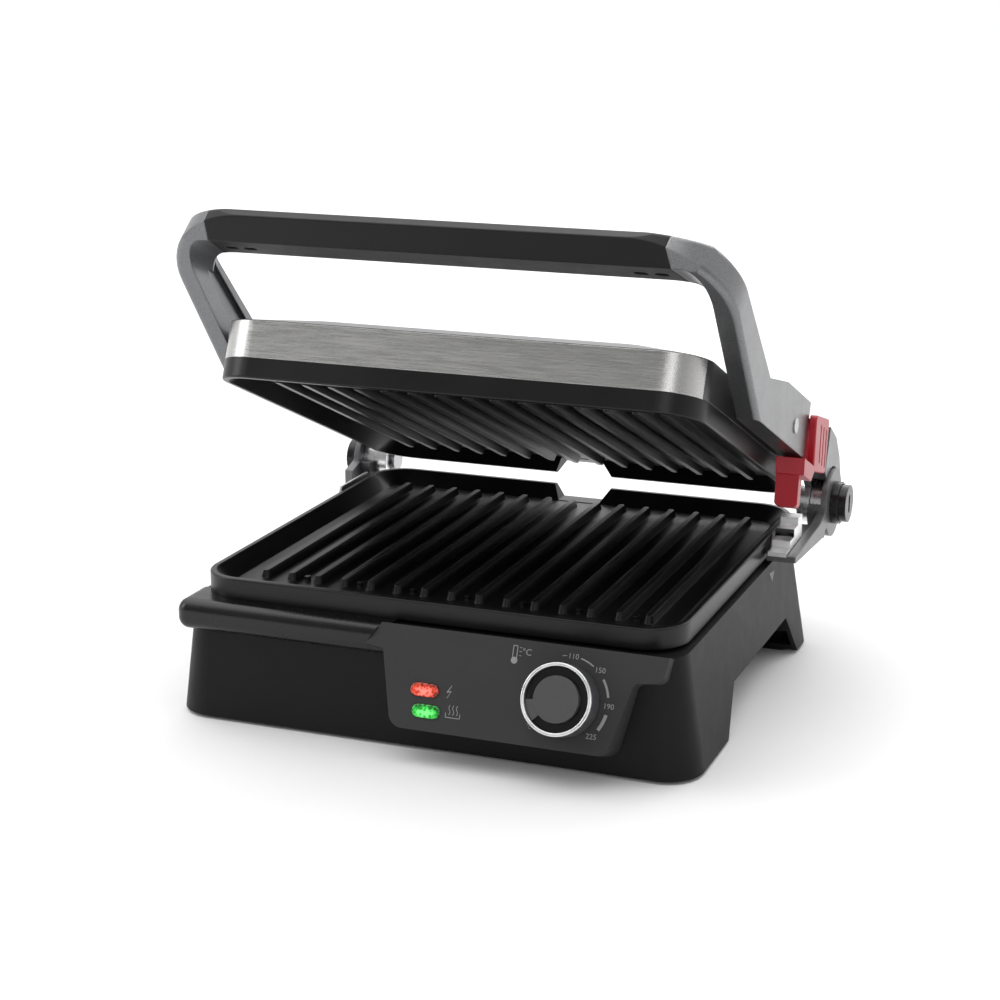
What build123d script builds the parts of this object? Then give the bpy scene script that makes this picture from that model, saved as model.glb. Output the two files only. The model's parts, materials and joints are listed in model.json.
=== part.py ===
"""Two-plate contact grill: base with tilted control console, hinged arms with a grip, floating lid."""

import os

from math import cos, radians, sin

from build123d import *

os.makedirs("parts", exist_ok=True)

# Driving dimensions, mm. The table is z = 0, the user stands at -Y, and the lid is part open.
PLATE_X, PLATE_Y = 290.0, 268.5  # grill plate footprint
PLATE_R = 24.0  # corner radius of the plates and the lid
PLATE_H = 12.0  # height of a plate's outer skirt
RIM_Z = 84.0  # top of the lower plate's rim
HINGE = HINGE_Y, HINGE_Z = 148.0, 85.0  # lid hinge axis, along X
LID_OPEN = 23.4  # lid angle as modelled
PLATE_GAP = 1.0  # between the two rims when shut

BASE_TOP, BASE_FOOT = 70.0, 2.0
BASE_TOP_HALF, BASE_FOOT_HALF = 148.5, 158.0
BASE_FRONT_TOP, BASE_FRONT_FOOT = -139.0, -144.0
BASE_BACK_TOP, BASE_BACK_FOOT = 115.0, 128.0
BASE_WALL = 3.0
BELLY_Z = 29.0  # underside between the front skirt and the rear legs

PANEL_TILT = 22.0
PANEL_TOP = (-144.0, 73.0)  # y, z of the console's top edge
KNOB_X, KNOB_DOWN = 88.9, 29.6  # knob centre on the console face
KNOB_R, KNOB_H = 19.75, 16.0
SHAFT_R = 3.0

ARM_OUT, ARM_IN, WEB_IN = 165.0, 152.3, 148.0  # half widths: arm outside, arm inside, arm web
DRUM_R, BARREL_R, PIN_R = 22.0, 15.0, 5.0
FLOAT_Y, FLOAT_Z, FLOAT_R = 11.4, 109.3, 4.0  # float pivot, lid shut
LID_EDGE_Z, LID_TOP_Z = 119.0, 127.5  # lid side top and lid roof, lid shut
GRIP_HALF = 131.5  # half length of the grip
END_X = 175.0  # outer end of the hinge button and cap

RIDGES, RIDGE_PITCH, RIDGE_H = 15, 16.8, 4.6
RIDGE_FRONT, RIDGE_BACK = -101.0, 114.0


# ---------------------------------------------------------------- frames and shared shapes
def opened(y, z):
    """Where a point of the shut lid is once the lid is part open."""
    c, s = cos(radians(LID_OPEN)), sin(radians(LID_OPEN))
    dy, dz = y - HINGE_Y, z - HINGE_Z
    return HINGE_Y + dy * c + dz * s, HINGE_Z - dy * s + dz * c


def lid_side(x):
    """A plane across the lid at x: its own coordinates are y and z with the lid shut."""
    c, s = cos(radians(LID_OPEN)), sin(radians(LID_OPEN))
    y, z = opened(0, 0)
    return Plane(origin=(x, y, z), x_dir=(0, c, -s), z_dir=(1, 0, 0))


def lid_level(z):
    """A plane along the lid at height z: its own coordinates are x and y with the lid shut."""
    c, s = cos(radians(LID_OPEN)), sin(radians(LID_OPEN))
    oy, oz = opened(0, z)
    return Plane(origin=(0, oy, oz), x_dir=(1, 0, 0), z_dir=(0, s, c))


def lid_upright(y):
    """A plane facing the user on the lid: its own coordinates are x and z with the lid shut."""
    c, s = cos(radians(LID_OPEN)), sin(radians(LID_OPEN))
    oy, oz = opened(y, 0)
    return Plane(origin=(0, oy, oz), x_dir=(1, 0, 0), z_dir=(0, -c, s))


def side(x):
    """A plane across the base at x: its own coordinates are y and z."""
    return Plane(origin=(x, 0, 0), x_dir=(0, 1, 0), z_dir=(1, 0, 0))


def panel(out=0.0):
    """The console's face, moved out along its normal: its own coordinates are x and up the face."""
    c, s = cos(radians(PANEL_TILT)), sin(radians(PANEL_TILT))
    y, z = PANEL_TOP
    return Plane(origin=(0, y - out * c, z + out * s), x_dir=(1, 0, 0), z_dir=(0, -c, s))


def slab(plane, points, depth):
    """A flat outline on a plane, as thick as depth."""
    with BuildPart() as piece:
        with BuildSketch(plane):
            with BuildLine():
                Polyline(*points, close=True)
            make_face()
        extrude(amount=depth)
    return piece.part


def tray(plane, size_x, size_y, radius, depth, centre_y=0.0, taper=0.0):
    """A block with rounded corners on a plane."""
    with BuildPart() as piece:
        with BuildSketch(plane):
            with Locations((0, centre_y)):
                RectangleRounded(size_x, size_y, radius)
        extrude(amount=depth, taper=taper)
    return piece.part


def rod(plane, centre, radius, length):
    """A round bar that starts on a plane."""
    with BuildPart() as piece:
        with BuildSketch(plane):
            with Locations(centre):
                Circle(radius)
        extrude(amount=length)
    return piece.part


def tub(inset=0.0):
    """The base's flared body, solid, with its walls moved in by inset."""
    with BuildPart() as piece:
        for z, half, front, back, radius in (
            (BASE_FOOT, BASE_FOOT_HALF, BASE_FRONT_FOOT, BASE_BACK_FOOT, 22.0),
            (BASE_TOP, BASE_TOP_HALF, BASE_FRONT_TOP, BASE_BACK_TOP, 15.0),
        ):
            with BuildSketch(Plane.XY.offset(z)):
                with Locations((0, (front + back) / 2)):
                    RectangleRounded(2 * (half - inset), back - front - 2 * inset, radius - inset)
        loft()
    return piece.part


def save(piece, name):
    """Names a finished sub-part and writes its file."""
    piece.part.label = name
    export_step(piece.part, f"parts/{name}.step")


# ---------------------------------------------------------------- base
HEEL_CUT = ((114, 0), (114, 2), (128, 9), (140, 9), (140, 0))  # lifts the rear legs' heels off the floor
LEG_FOOT = 92.0  # front of a rear leg at the floor
LEG_IN = 118.0  # inner side of a rear leg


def leg_gap(height, reach=400.0):
    """The clear space under the base, from side to side, up to a height."""
    slope = (BELLY_Z - height) * 24.0 / 27.0
    points = [(-74, 0), (-50 - slope, height), (72, height), (LEG_FOOT, 0)]
    return slab(side(-reach / 2), [(y, z) for y, z in points], reach)


FEET = {"feet_front": (-141.0, -122.0), "feet_rear": (-138.0, 103.0)}
FOOT_SEAT = (22.0, 16.0)
BOSS_TOP = 6.0


def foot_boss(x, y):
    """A solid corner of the base over one foot."""
    with BuildPart() as piece:
        add(tub(1.0))
        with BuildPart(mode=Mode.PRIVATE) as block:
            with BuildSketch(Plane.XY.offset(BASE_FOOT)):
                with Locations((x, y)):
                    Rectangle(38, 44)
            extrude(amount=BOSS_TOP - BASE_FOOT)
            add(leg_gap(BELLY_Z), mode=Mode.SUBTRACT)
            add(slab(side(-200), HEEL_CUT, 400), mode=Mode.SUBTRACT)
        add(block.part, mode=Mode.INTERSECT)
    return piece.part


with BuildPart() as base_housing:
    add(tub())
    # hollow inside, with a deck left at the top
    with BuildPart(mode=Mode.PRIVATE) as hollow:
        add(tub(BASE_WALL))
        with BuildSketch(Plane.XY.offset(BASE_TOP - BASE_WALL)):
            Rectangle(400, 400)
        extrude(amount=20, mode=Mode.SUBTRACT)
    add(hollow.part, mode=Mode.SUBTRACT)
    # opening in the deck for the heater
    add(tray(Plane.XY.offset(BASE_TOP - 10), 262, 226, 18, 20, centre_y=-10), mode=Mode.SUBTRACT)
    # way through the front wall for the knob shaft and the lamps
    for x, width in ((KNOB_X, 36), (9, 30)):
        with BuildSketch(Plane.XZ.offset(120)):
            with Locations((x, 45)):
                Rectangle(width, 32)
        extrude(amount=40, mode=Mode.SUBTRACT)
    # pockets for the steel hinge plates, and the gland hole at the back
    for s in (-1, 1):
        with BuildSketch(Plane.XY.offset(34)):
            with Locations((s * 143.55, 86)):
                Rectangle(7.1, 54)
        extrude(amount=40, mode=Mode.SUBTRACT)
    with BuildSketch(Plane.XZ.offset(-130)):
        with Locations((-95, 48)):
            Circle(8.0)
    extrude(amount=30, mode=Mode.SUBTRACT)
    # inner walls of the rear legs
    for s in (-1, 1):
        with BuildPart(mode=Mode.PRIVATE) as leg:
            add(tub(1.0))
            with BuildPart(mode=Mode.PRIVATE) as walls:
                with BuildSketch(Plane.XY):
                    with Locations((s * (LEG_IN + 30), 100)):
                        Rectangle(60, 60)
                    with Locations((s * (LEG_IN + BASE_WALL + 30), 110)):
                        Rectangle(60, 60, mode=Mode.SUBTRACT)
                extrude(amount=BELLY_Z)
            add(walls.part, mode=Mode.INTERSECT)
        add(leg.part)
    # clear space between the legs, and the rear legs' lower back corner
    add(leg_gap(BELLY_Z), mode=Mode.SUBTRACT)
    with BuildSketch(Plane.XY):
        with Locations((0, 106)):
            Rectangle(2 * LEG_IN, 80)
    extrude(amount=BELLY_Z, mode=Mode.SUBTRACT)
    add(slab(side(-200), HEEL_CUT, 400), mode=Mode.SUBTRACT)
    # bosses at the corners, each with a seat for a foot
    for foot_x, foot_y in FEET.values():
        for s in (-1, 1):
            add(foot_boss(s * foot_x, foot_y))
            with BuildSketch(Plane.XY.offset(BASE_FOOT)):
                with Locations((s * foot_x, foot_y)):
                    RectangleRounded(*FOOT_SEAT, 5)
            extrude(amount=3, mode=Mode.SUBTRACT)
save(base_housing, "base_housing")

# the sheet that closes the base from below: y and z, bent down behind the front skirt
PAN_T = 2.2
PAN = (
    (-160, BOSS_TOP), (-69, BOSS_TOP), (-50, BELLY_Z), (135, BELLY_Z),
    (135, BELLY_Z + PAN_T), (-51.3, BELLY_Z + PAN_T), (-70.3, BOSS_TOP + PAN_T), (-160, BOSS_TOP + PAN_T),
)  # fmt: skip

with BuildPart() as base_pan:
    add(tub(BASE_WALL + 0.2))
    add(slab(side(-200), PAN, 400), mode=Mode.INTERSECT)
save(base_pan, "base_pan")


def nose_block(x0, x1):
    """A rounded bar along the front of the base, cut back to the base's body."""
    with BuildPart() as piece:
        with BuildSketch(Plane.XY.offset(54.0)):
            with Locations(((x0 + x1) / 2, -133.5)):
                Rectangle(x1 - x0, 29)
        extrude(amount=18)
        left = piece.edges().filter_by(Axis.Z).sort_by(Axis.X)[:2].sort_by(Axis.Y)[0]
        fillet(left, 7)
        front = piece.faces().filter_by(Axis.Z).edges().group_by(Axis.Y)
        fillet(front[0], 7)
        add(tub(), mode=Mode.SUBTRACT)
    return piece.part


# outline of the console's face: x and the way down from its top edge
CONSOLE = (
    (-22.8, 0), (-31, 12.9), (-20, 14.5), (-9.8, 56.5), (115.2, 56.5), (126, 16), (141, 14), (143.5, 0),
)  # fmt: skip
CONSOLE_CORNERS = {3: 9.0, 4: 9.0, 5: 4.0, 6: 5.0}  # which corners are rounded, and how much


def console(out, inset, depth):
    """The console's outline, moved in by inset, from a height over its face back into the base."""
    with BuildPart() as piece:
        with BuildSketch(panel(out)) as outline:
            with BuildLine():
                Polyline(*[(x, -down) for x, down in CONSOLE], close=True)
            make_face()
            if inset:
                offset(amount=-inset, kind=Kind.INTERSECTION)
            for corner, radius in CONSOLE_CORNERS.items():
                x, down = CONSOLE[corner]
                fillet(outline.vertices().sort_by_distance((x, -down, 0))[0], radius)
        extrude(amount=-depth)
    return piece.part


with BuildPart() as nose_band:
    add(nose_block(-152.0, -18.0))
    add(console(30.0, 0, 90.0), mode=Mode.SUBTRACT)
save(nose_band, "nose_band")


LAMPS = {"red": (8.0, 34.0), "green": (10.3, 45.5)}
LAMP_W, LAMP_H = 16.5, 7.5

with BuildPart() as control_panel:
    add(console(0, 0, 48))
    add(console(-3.0, 3.0, 60), mode=Mode.SUBTRACT)
    add(tub(), mode=Mode.SUBTRACT)
    with BuildSketch(panel(1)):
        with Locations((KNOB_X, -KNOB_DOWN)):
            Circle(SHAFT_R + 0.05)
        for x, down in LAMPS.values():
            with Locations((x, -down)):
                SlotOverall(LAMP_W, LAMP_H)
    extrude(amount=-10, mode=Mode.SUBTRACT)
save(control_panel, "control_panel")

for colour, (lamp_x, lamp_down) in LAMPS.items():
    with BuildPart() as lamp:
        with BuildSketch(panel(-3.0)):
            with Locations((lamp_x, -lamp_down)):
                SlotOverall(LAMP_W, LAMP_H)
        extrude(amount=4.2)
        fillet(lamp.faces().sort_by(Axis((0, 0, 0), panel().z_dir))[-1].edges(), 0.9)
    save(lamp, f"lamp_{colour}")

with BuildPart() as lamp_housing:
    with BuildSketch(panel(-3.0)):
        with Locations((9.15, -39.75)):
            RectangleRounded(22, 21, 2)
    extrude(amount=-9)
save(lamp_housing, "lamp_housing")

with BuildPart() as thermostat:
    with BuildSketch(panel(-3.0)):
        with Locations((KNOB_X, -KNOB_DOWN)):
            RectangleRounded(30, 24, 3)
    extrude(amount=-12)
    with BuildSketch(panel(0)):
        with Locations((KNOB_X, -KNOB_DOWN)):
            Circle(SHAFT_R + 0.05)
    extrude(amount=-16, mode=Mode.SUBTRACT)
save(thermostat, "thermostat")

with BuildPart() as cord_gland:
    add(rod(Plane.XZ.offset(-114), (-95, 48), 11, -10))
    add(tub(), mode=Mode.SUBTRACT)
    add(rod(Plane.XZ.offset(-112), (-95, 48), 7.9, -16))
    add(rod(Plane.XZ.offset(-110), (-95, 48), 3.5, -20), mode=Mode.SUBTRACT)
save(cord_gland, "cord_gland")

with BuildPart() as terminal_block:
    with BuildSketch(Plane.XY.offset(BELLY_Z + PAN_T)):
        with Locations((-95, 80)):
            RectangleRounded(34, 18, 2)
    extrude(amount=12)
save(terminal_block, "terminal_block")

for name, (foot_x, foot_y) in FEET.items():
    with BuildPart() as feet:
        for s in (-1, 1):
            with BuildSketch(Plane.XY.offset(BASE_FOOT + 3)):
                with Locations((s * foot_x, foot_y)):
                    RectangleRounded(*FOOT_SEAT, 5)
            extrude(amount=-3)
            with BuildSketch(Plane.XY.offset(BASE_FOOT)):
                with Locations((s * foot_x, foot_y)):
                    RectangleRounded(26, 20, 6)
            extrude(amount=-2)
    save(feet, name)


# ---------------------------------------------------------------- grill plates
def level(z):
    """A level plane on the base."""
    return Plane.XY.offset(z)


def upright(y):
    """A plane facing the user on the base: its own coordinates are x and z."""
    return Plane(origin=(0, y, 0), x_dir=(1, 0, 0), z_dir=(0, -1, 0))


def grill_plate(flat, facing, rim, up):
    """One grill plate with its rim at a height; up is 1 when it faces up and -1 when it faces down."""
    floor = rim - up * 9.0
    with BuildPart() as piece:
        add(tray(flat(min(rim, rim - up * PLATE_H)), PLATE_X, PLATE_Y, PLATE_R, PLATE_H))
        along = piece.faces().sort_by(Axis((0, 0, 0), flat(0).z_dir))
        fillet(along[-1 if up > 0 else 0].edges(), 1.2)
        # hollow under the floor, then the cooking side with its sloping wall
        with BuildSketch(flat(rim - up * PLATE_H)):
            RectangleRounded(PLATE_X - 8, PLATE_Y - 8, PLATE_R - 4)
        extrude(amount=up * 0.8, mode=Mode.SUBTRACT)
        with BuildSketch(flat(rim)):
            RectangleRounded(PLATE_X - 7, PLATE_Y - 7, PLATE_R - 3.5)
        with BuildSketch(flat(floor)):
            RectangleRounded(PLATE_X - 25, PLATE_Y - 25, PLATE_R - 12.5)
        loft(mode=Mode.SUBTRACT)
        # ridges, and small bumps between them near the front
        with BuildSketch(flat(floor)):
            with Locations((0, (RIDGE_FRONT + RIDGE_BACK) / 2)):
                with GridLocations(RIDGE_PITCH, 0, RIDGES, 1):
                    SlotOverall(RIDGE_BACK - RIDGE_FRONT, 6.2, rotation=90)
        extrude(amount=up * RIDGE_H, taper=16)
        with BuildSketch(flat(floor)):
            with Locations((RIDGE_PITCH / 2, RIDGE_FRONT + 6)):
                with GridLocations(2 * RIDGE_PITCH, 0, RIDGES // 2, 1):
                    Circle(1.8)
        extrude(amount=up * 2.4)
        # grease notch through the back rim
        with BuildSketch(facing(PLATE_Y / 2 + 1)):
            with BuildLine():
                Polyline(
                    (-20, rim + up), (-14, rim - up * 8.6), (14, rim - up * 8.6), (20, rim + up),
                    close=True,
                )  # fmt: skip
            make_face()
        extrude(amount=16, mode=Mode.SUBTRACT)
    return piece.part


def heater(flat, z):
    """A bent tubular heating element: one loop with both ends at the back."""
    with BuildPart() as piece:
        with BuildLine(flat(z)) as path:
            FilletPolyline(
                (-25, 92), (-25, 60), (-88, 60), (-88, -78), (88, -78), (88, 60), (25, 60), (25, 92),
                radius=20,
            )  # fmt: skip
        with BuildSketch(Plane(origin=path.line @ 0, z_dir=path.line % 0)):
            Circle(3.2)
        sweep()
    return piece.part


def reflector(flat, z, up):
    """A shallow sheet tray behind a heating element."""
    with BuildPart() as piece:
        add(tray(flat(z), 244, 210, 16, up * 9.0, centre_y=-9))
        add(tray(flat(z + up * 1.0), 242, 208, 15, up * 9.0, centre_y=-9), mode=Mode.SUBTRACT)
    return piece.part


SHUT_RIM = RIM_Z + PLATE_GAP

with BuildPart() as lower_plate:
    add(grill_plate(level, upright, RIM_Z, 1))
    with BuildSketch(level(RIM_Z - 11.2)):
        with GridLocations(270, 200, 2, 2):
            Circle(4.5)
    extrude(amount=-(RIM_Z - 11.2 - BASE_TOP))
save(lower_plate, "lower_plate")

with BuildPart() as lower_heater:
    add(heater(level, RIM_Z - 14.5))
save(lower_heater, "lower_heater")

with BuildPart() as lower_reflector:
    add(reflector(level, 52.0, 1))
    with BuildSketch(level(52.0)):
        with GridLocations(150, 80, 2, 2):
            Circle(4)
    extrude(amount=-(52.0 - BELLY_Z - PAN_T))
save(lower_reflector, "lower_reflector")

with BuildPart() as upper_plate:
    add(grill_plate(lid_level, lid_upright, SHUT_RIM, -1))
save(upper_plate, "upper_plate")

with BuildPart() as upper_heater:
    add(heater(lid_level, SHUT_RIM + 14.5))
save(upper_heater, "upper_heater")

with BuildPart() as upper_reflector:
    add(reflector(lid_level, SHUT_RIM + 26.0, -1))
save(upper_reflector, "upper_reflector")


# ---------------------------------------------------------------- lid
SKIRT_Z = SHUT_RIM + PLATE_H  # where the lid's painted side starts
BAND_T = 1.2
BAND_BACK = -119.0


def lid_side_block(inset, z0, z1):
    """The lid's upright side, solid, with its walls moved in by inset."""
    return tray(lid_level(z0), PLATE_X - 2 * inset, PLATE_Y - 2 * inset, PLATE_R - inset, z1 - z0)


def lid_roof(inset):
    """The lid's bevelled roof, solid."""
    with BuildPart() as piece:
        with BuildSketch(lid_level(LID_EDGE_Z)):
            RectangleRounded(PLATE_X - 2 * inset, PLATE_Y - 2 * inset, PLATE_R - inset)
        with BuildSketch(lid_level(LID_TOP_Z - inset)):
            RectangleRounded(PLATE_X - 64, PLATE_Y - 64, 22)
        loft()
    return piece.part


def front_zone(y):
    """Everything of the lid in front of a place."""
    return slab(lid_side(-200), [(-200, 60), (y, 60), (y, 200), (-200, 200)], 400)


with BuildPart() as lid_band:
    add(lid_side_block(0, SKIRT_Z, LID_EDGE_Z - 0.4))
    add(lid_side_block(BAND_T, SKIRT_Z - 1, LID_EDGE_Z + 1), mode=Mode.SUBTRACT)
    add(front_zone(BAND_BACK), mode=Mode.INTERSECT)
save(lid_band, "lid_band")

with BuildPart() as lid_cover:
    with BuildPart(mode=Mode.PRIVATE) as skin:
        add(lid_side_block(0, SKIRT_Z, LID_EDGE_Z))
        add(lid_roof(0))
    with BuildPart(mode=Mode.PRIVATE) as band_seat:
        add(lid_side_block(-1, SKIRT_Z - 1, LID_EDGE_Z - 0.4))
        add(lid_side_block(BAND_T, SKIRT_Z - 2, LID_EDGE_Z + 1), mode=Mode.SUBTRACT)
        add(front_zone(BAND_BACK), mode=Mode.INTERSECT)
    add(skin.part)
    add(lid_side_block(3.2, SKIRT_Z - 1, LID_EDGE_Z), mode=Mode.SUBTRACT)
    add(lid_roof(3.2), mode=Mode.SUBTRACT)
    add(band_seat.part, mode=Mode.SUBTRACT)
    # bosses for the float pivots
    for s in (-1, 1):
        add(rod(lid_side(s * 142.5), (FLOAT_Y, FLOAT_Z), 9, -s * 8))
        add(rod(lid_side(s * 146), (FLOAT_Y, FLOAT_Z), FLOAT_R + 0.05, -s * 14), mode=Mode.SUBTRACT)
save(lid_cover, "lid_cover")

with BuildPart() as lid_frame:
    add(tray(lid_level(SKIRT_Z), 282, 260, 19, 3.0))
    add(tray(lid_level(SKIRT_Z - 1), 262, 240, 14, 6.0), mode=Mode.SUBTRACT)
save(lid_frame, "lid_frame")


# ---------------------------------------------------------------- arms and grip
GRIP_FLOOR_Z = 152.6  # underside of the grip, lid shut
YOKE = (
    (45, 95.5), (-78, 95.5), (-178, 152), (-193, 164), (-187, 169), (-166, 169),
    (-152, 162), (-58, 123), (-20, 129), (45, 130),
)  # fmt: skip


YOKE_R = 54.0  # outer corner radius of the two arms and the grip
# middles of the frame's rounded edges, lid shut
SOFT_EDGES = (
    (165, -112.7, 115), (161.8, -163.7, 143.7), (165, -97, 139), (164.1, -143.9, 158.6),
    (158, -159, 165.6), (141.6, -178.6, 169),
)  # fmt: skip


def slope_plane():
    """The plane of the two arms and the grip, seen from the front: x, and the way up the arms."""
    a = opened(-74, 95.5)
    b = opened(-177, 153.6)
    up = Vector(0, b[0] - a[0], b[1] - a[1]).normalized()
    across = Vector(1, 0, 0)
    return Plane(origin=(0, a[0], a[1]), x_dir=across, z_dir=across.cross(up))


def yoke():
    """Both arms and the grip as one bent frame, before it is cut into pieces."""
    with BuildPart() as piece:
        add(slab(lid_side(-ARM_OUT), YOKE, 2 * ARM_OUT))
        # rounded outer corners
        with BuildSketch(slope_plane()):
            with Locations((0, -63)):
                RectangleRounded(2 * ARM_OUT, 400, YOKE_R)
        extrude(amount=200, both=True, mode=Mode.INTERSECT)
        # the opening between the arms, under the grip and behind it
        with BuildSketch(lid_upright(-300)):
            with Locations((0, GRIP_FLOOR_Z - 100)):
                RectangleRounded(2 * ARM_IN, 200, 14)
        extrude(amount=-500, mode=Mode.SUBTRACT)
        with BuildSketch(lid_level(60)):
            with Locations((0, 46)):
                RectangleRounded(2 * ARM_IN, 400, 26)
        extrude(amount=200, mode=Mode.SUBTRACT)
        # soft outer edges, in front and on top
        soft = []
        for s in (-1, 1):
            for x, y, z in SOFT_EDGES:
                soft.append(piece.edges().sort_by_distance((s * x, *opened(y, z)))[0])
        fillet(soft, 3.5)
    return piece.part


def grip_zone():
    """The space of the grip: its ends are slanted, and it stays between the arms further back."""
    front, back = GRIP_HALF - 1.5, GRIP_HALF + 6.0
    outline = [(front, -210), (back, -150), (back, 60), (-back, 60), (-back, -150), (-front, -210)]
    return slab(lid_level(100), outline, 100)


GRIP_SCREWS = [(s * x, -165.0) for s in (-1, 1) for x in (114.0, 125.5)]

with BuildPart() as handle_grip:
    add(yoke())
    add(grip_zone(), mode=Mode.INTERSECT)
    with BuildSketch(lid_level(GRIP_FLOOR_Z)):
        for x, y in GRIP_SCREWS:
            with Locations((x, y)):
                SlotOverall(8, 5.2)
    extrude(amount=4, mode=Mode.SUBTRACT)
save(handle_grip, "handle_grip")

with BuildPart() as grip_screws:
    for x, y in GRIP_SCREWS:
        add(rod(lid_level(GRIP_FLOOR_Z + 2), (x, y), 2.3, 2.0))
save(grip_screws, "grip_screws")

WEB = (
    (-55, 98), (118, 98), (133, 92), HINGE, (165, 97), (172, 102),
    (166, 114), (150, 124), (120, 129), (-55, 128),
)  # fmt: skip
COLLAR = (
    (120.5, 100), (120.5, 129), (142, 126), (158, 117), (168, 107), (170.5, 101), HINGE,
)  # fmt: skip
COLLAR_OUT = 162.8  # half width across the two collars
SLOT_Y, SLOT_Z, SLOT_LONG, SLOT_TALL = 55.0, 109.0, 46.0, 7.0  # the lever's slot in the right arm


def arm(s):
    """One arm with its inner web and the collar that wraps the hinge drum; s is 1 on the right."""
    with BuildPart() as piece:
        add(yoke())
        add(grip_zone(), mode=Mode.SUBTRACT)
        other_half = [(-300, 0), (300, 0), (300, 300), (-300, 300)]
        add(slab(lid_side(-s * 300), other_half, s * 300), mode=Mode.SUBTRACT)
        # lightening pocket on the inner side of the rising part
        with BuildSketch(lid_side(s * (ARM_IN - 1))):
            with BuildLine():
                Polyline((-68, 103), (-150, 149), (-140, 153), (-62, 119), close=True)
            make_face()
        extrude(amount=s * 3.8, mode=Mode.SUBTRACT)
        add(slab(lid_side(s * WEB_IN), WEB, s * (ARM_IN - WEB_IN)))
        with BuildPart(mode=Mode.PRIVATE) as collar:
            add(slab(lid_side(s * ARM_IN), COLLAR, s * (COLLAR_OUT - ARM_IN)))
            add(rod(lid_side(s * (ARM_IN - 1)), HINGE, DRUM_R + 1.2, s * 20), mode=Mode.SUBTRACT)
        add(collar.part)
        add(rod(lid_side(s * (WEB_IN - 1)), HINGE, BARREL_R, s * 20), mode=Mode.SUBTRACT)
        add(rod(lid_side(s * (WEB_IN - 1)), (FLOAT_Y, FLOAT_Z), FLOAT_R, s * 30), mode=Mode.SUBTRACT)
        if s > 0:
            with BuildSketch(lid_side(WEB_IN - 1)):
                with Locations((SLOT_Y + SLOT_LONG / 2, SLOT_Z)):
                    Rectangle(SLOT_LONG, SLOT_TALL)
            extrude(amount=10, mode=Mode.SUBTRACT)
    return piece.part


for arm_name, s in (("arm_right", 1), ("arm_left", -1)):
    with BuildPart() as one_arm:
        add(arm(s))
    save(one_arm, arm_name)

with BuildPart() as hinge_barrels:
    for s in (-1, 1):
        add(rod(lid_side(s * (WEB_IN - 4)), HINGE, BARREL_R, s * 8.2))
        add(rod(lid_side(s * (WEB_IN - 5)), HINGE, PIN_R + 0.05, s * 20), mode=Mode.SUBTRACT)
save(hinge_barrels, "hinge_barrels")

with BuildPart() as float_pins:
    for s in (-1, 1):
        add(rod(lid_side(s * 138), (FLOAT_Y, FLOAT_Z), FLOAT_R, s * (ARM_OUT - 138)))
        add(rod(lid_side(s * ARM_OUT), (FLOAT_Y, FLOAT_Z), 4.6, s * 0.9))
save(float_pins, "float_pins")


# ---------------------------------------------------------------- hinge brackets
BRACKET_FRONT, FLOOR_Z, FLOOR_T = 46.0, 73.0, 3.0
RAIL_IN = 159.3  # inner face of a bracket's outer rail
UNDERCUT = ((134, 73), (125, 72.2), (123.5, 68), (118, 69))  # leaves room for the arm's collar when the lid lies flat
RAIL = ((BRACKET_FRONT, FLOOR_Z), (BRACKET_FRONT, 76.6), (112, 80), (134, 86), *UNDERCUT)
NECK = ((112, FLOOR_Z), (112, 84), (134, 90), *UNDERCUT)  # the left bracket has no rack
HINGE_PLATE = ((60, 36), (60, 76), (66, 86), (106, 86), (112, 76), (112, 36))
PLATE_IN, PLATE_OUT = 145.4, 147.0  # the steel hinge plate, inside the base's wall


SHELL_OUT, SHELL_IN = 14.4, 12.8


def drum_quarter(s, outer, inner, width):
    """The upper front quarter of a ring about the hinge axis, next to an arm."""
    with BuildPart() as piece:
        add(rod(side(s * ARM_IN), HINGE, outer, s * width))
        add(rod(side(s * ARM_IN), HINGE, inner, s * width), mode=Mode.SUBTRACT)
        wedge = (HINGE, (90, 90.2), (90, 150), (170, 150))
        add(slab(side(s * ARM_IN), wedge, s * width), mode=Mode.INTERSECT)
    return piece.part


def bracket(s):
    """One hinge bracket: a floor and rail on the base's side, and the drum that carries the hinge."""
    with BuildPart() as piece:
        add(slab(side(s * RAIL_IN), RAIL if s > 0 else NECK, s * (ARM_OUT - RAIL_IN)))
        front, top = BRACKET_FRONT if s > 0 else 100.0, FLOOR_Z + FLOOR_T
        foot = ((front, FLOOR_Z), (front, top), (122, top), (122, FLOOR_Z))
        add(slab(side(s * PLATE_OUT), foot, s * (RAIL_IN - PLATE_OUT)))
        add(rod(side(s * (ARM_IN + 0.3)), HINGE, DRUM_R, s * (ARM_OUT - ARM_IN - 0.3)))
        # the drum's upper front quarter is open down to the bright shell round its core
        add(drum_quarter(s, DRUM_R + 1, SHELL_IN, 8.7), mode=Mode.SUBTRACT)
        add(rod(side(s * 150), HINGE, PIN_R, s * 10.5), mode=Mode.SUBTRACT)
        # bore of the button, from the outside
        if s > 0:
            add(rod(side(160.8), HINGE, BUTTON_R + 0.3, 10), mode=Mode.SUBTRACT)
    return piece.part


BUTTON_R, HEAD_R, BUTTON_TRAVEL = 8.0, 12.0, 3.0

for bracket_name, s in (("bracket_right", 1), ("bracket_left", -1)):
    with BuildPart() as one_bracket:
        add(bracket(s))
    save(one_bracket, bracket_name)

with BuildPart() as hinge_shells:
    for s in (-1, 1):
        add(drum_quarter(s, SHELL_OUT, SHELL_IN, 8.6))
        end_face = rod(side(s * ARM_IN), HINGE, SHELL_OUT + 1, s * 0.3)
        add(end_face, mode=Mode.SUBTRACT)
save(hinge_shells, "hinge_shells")

with BuildPart() as hinge_plates:
    for s in (-1, 1):
        add(slab(side(s * PLATE_IN), HINGE_PLATE, s * (PLATE_OUT - PLATE_IN)))
save(hinge_plates, "hinge_plates")

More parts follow.
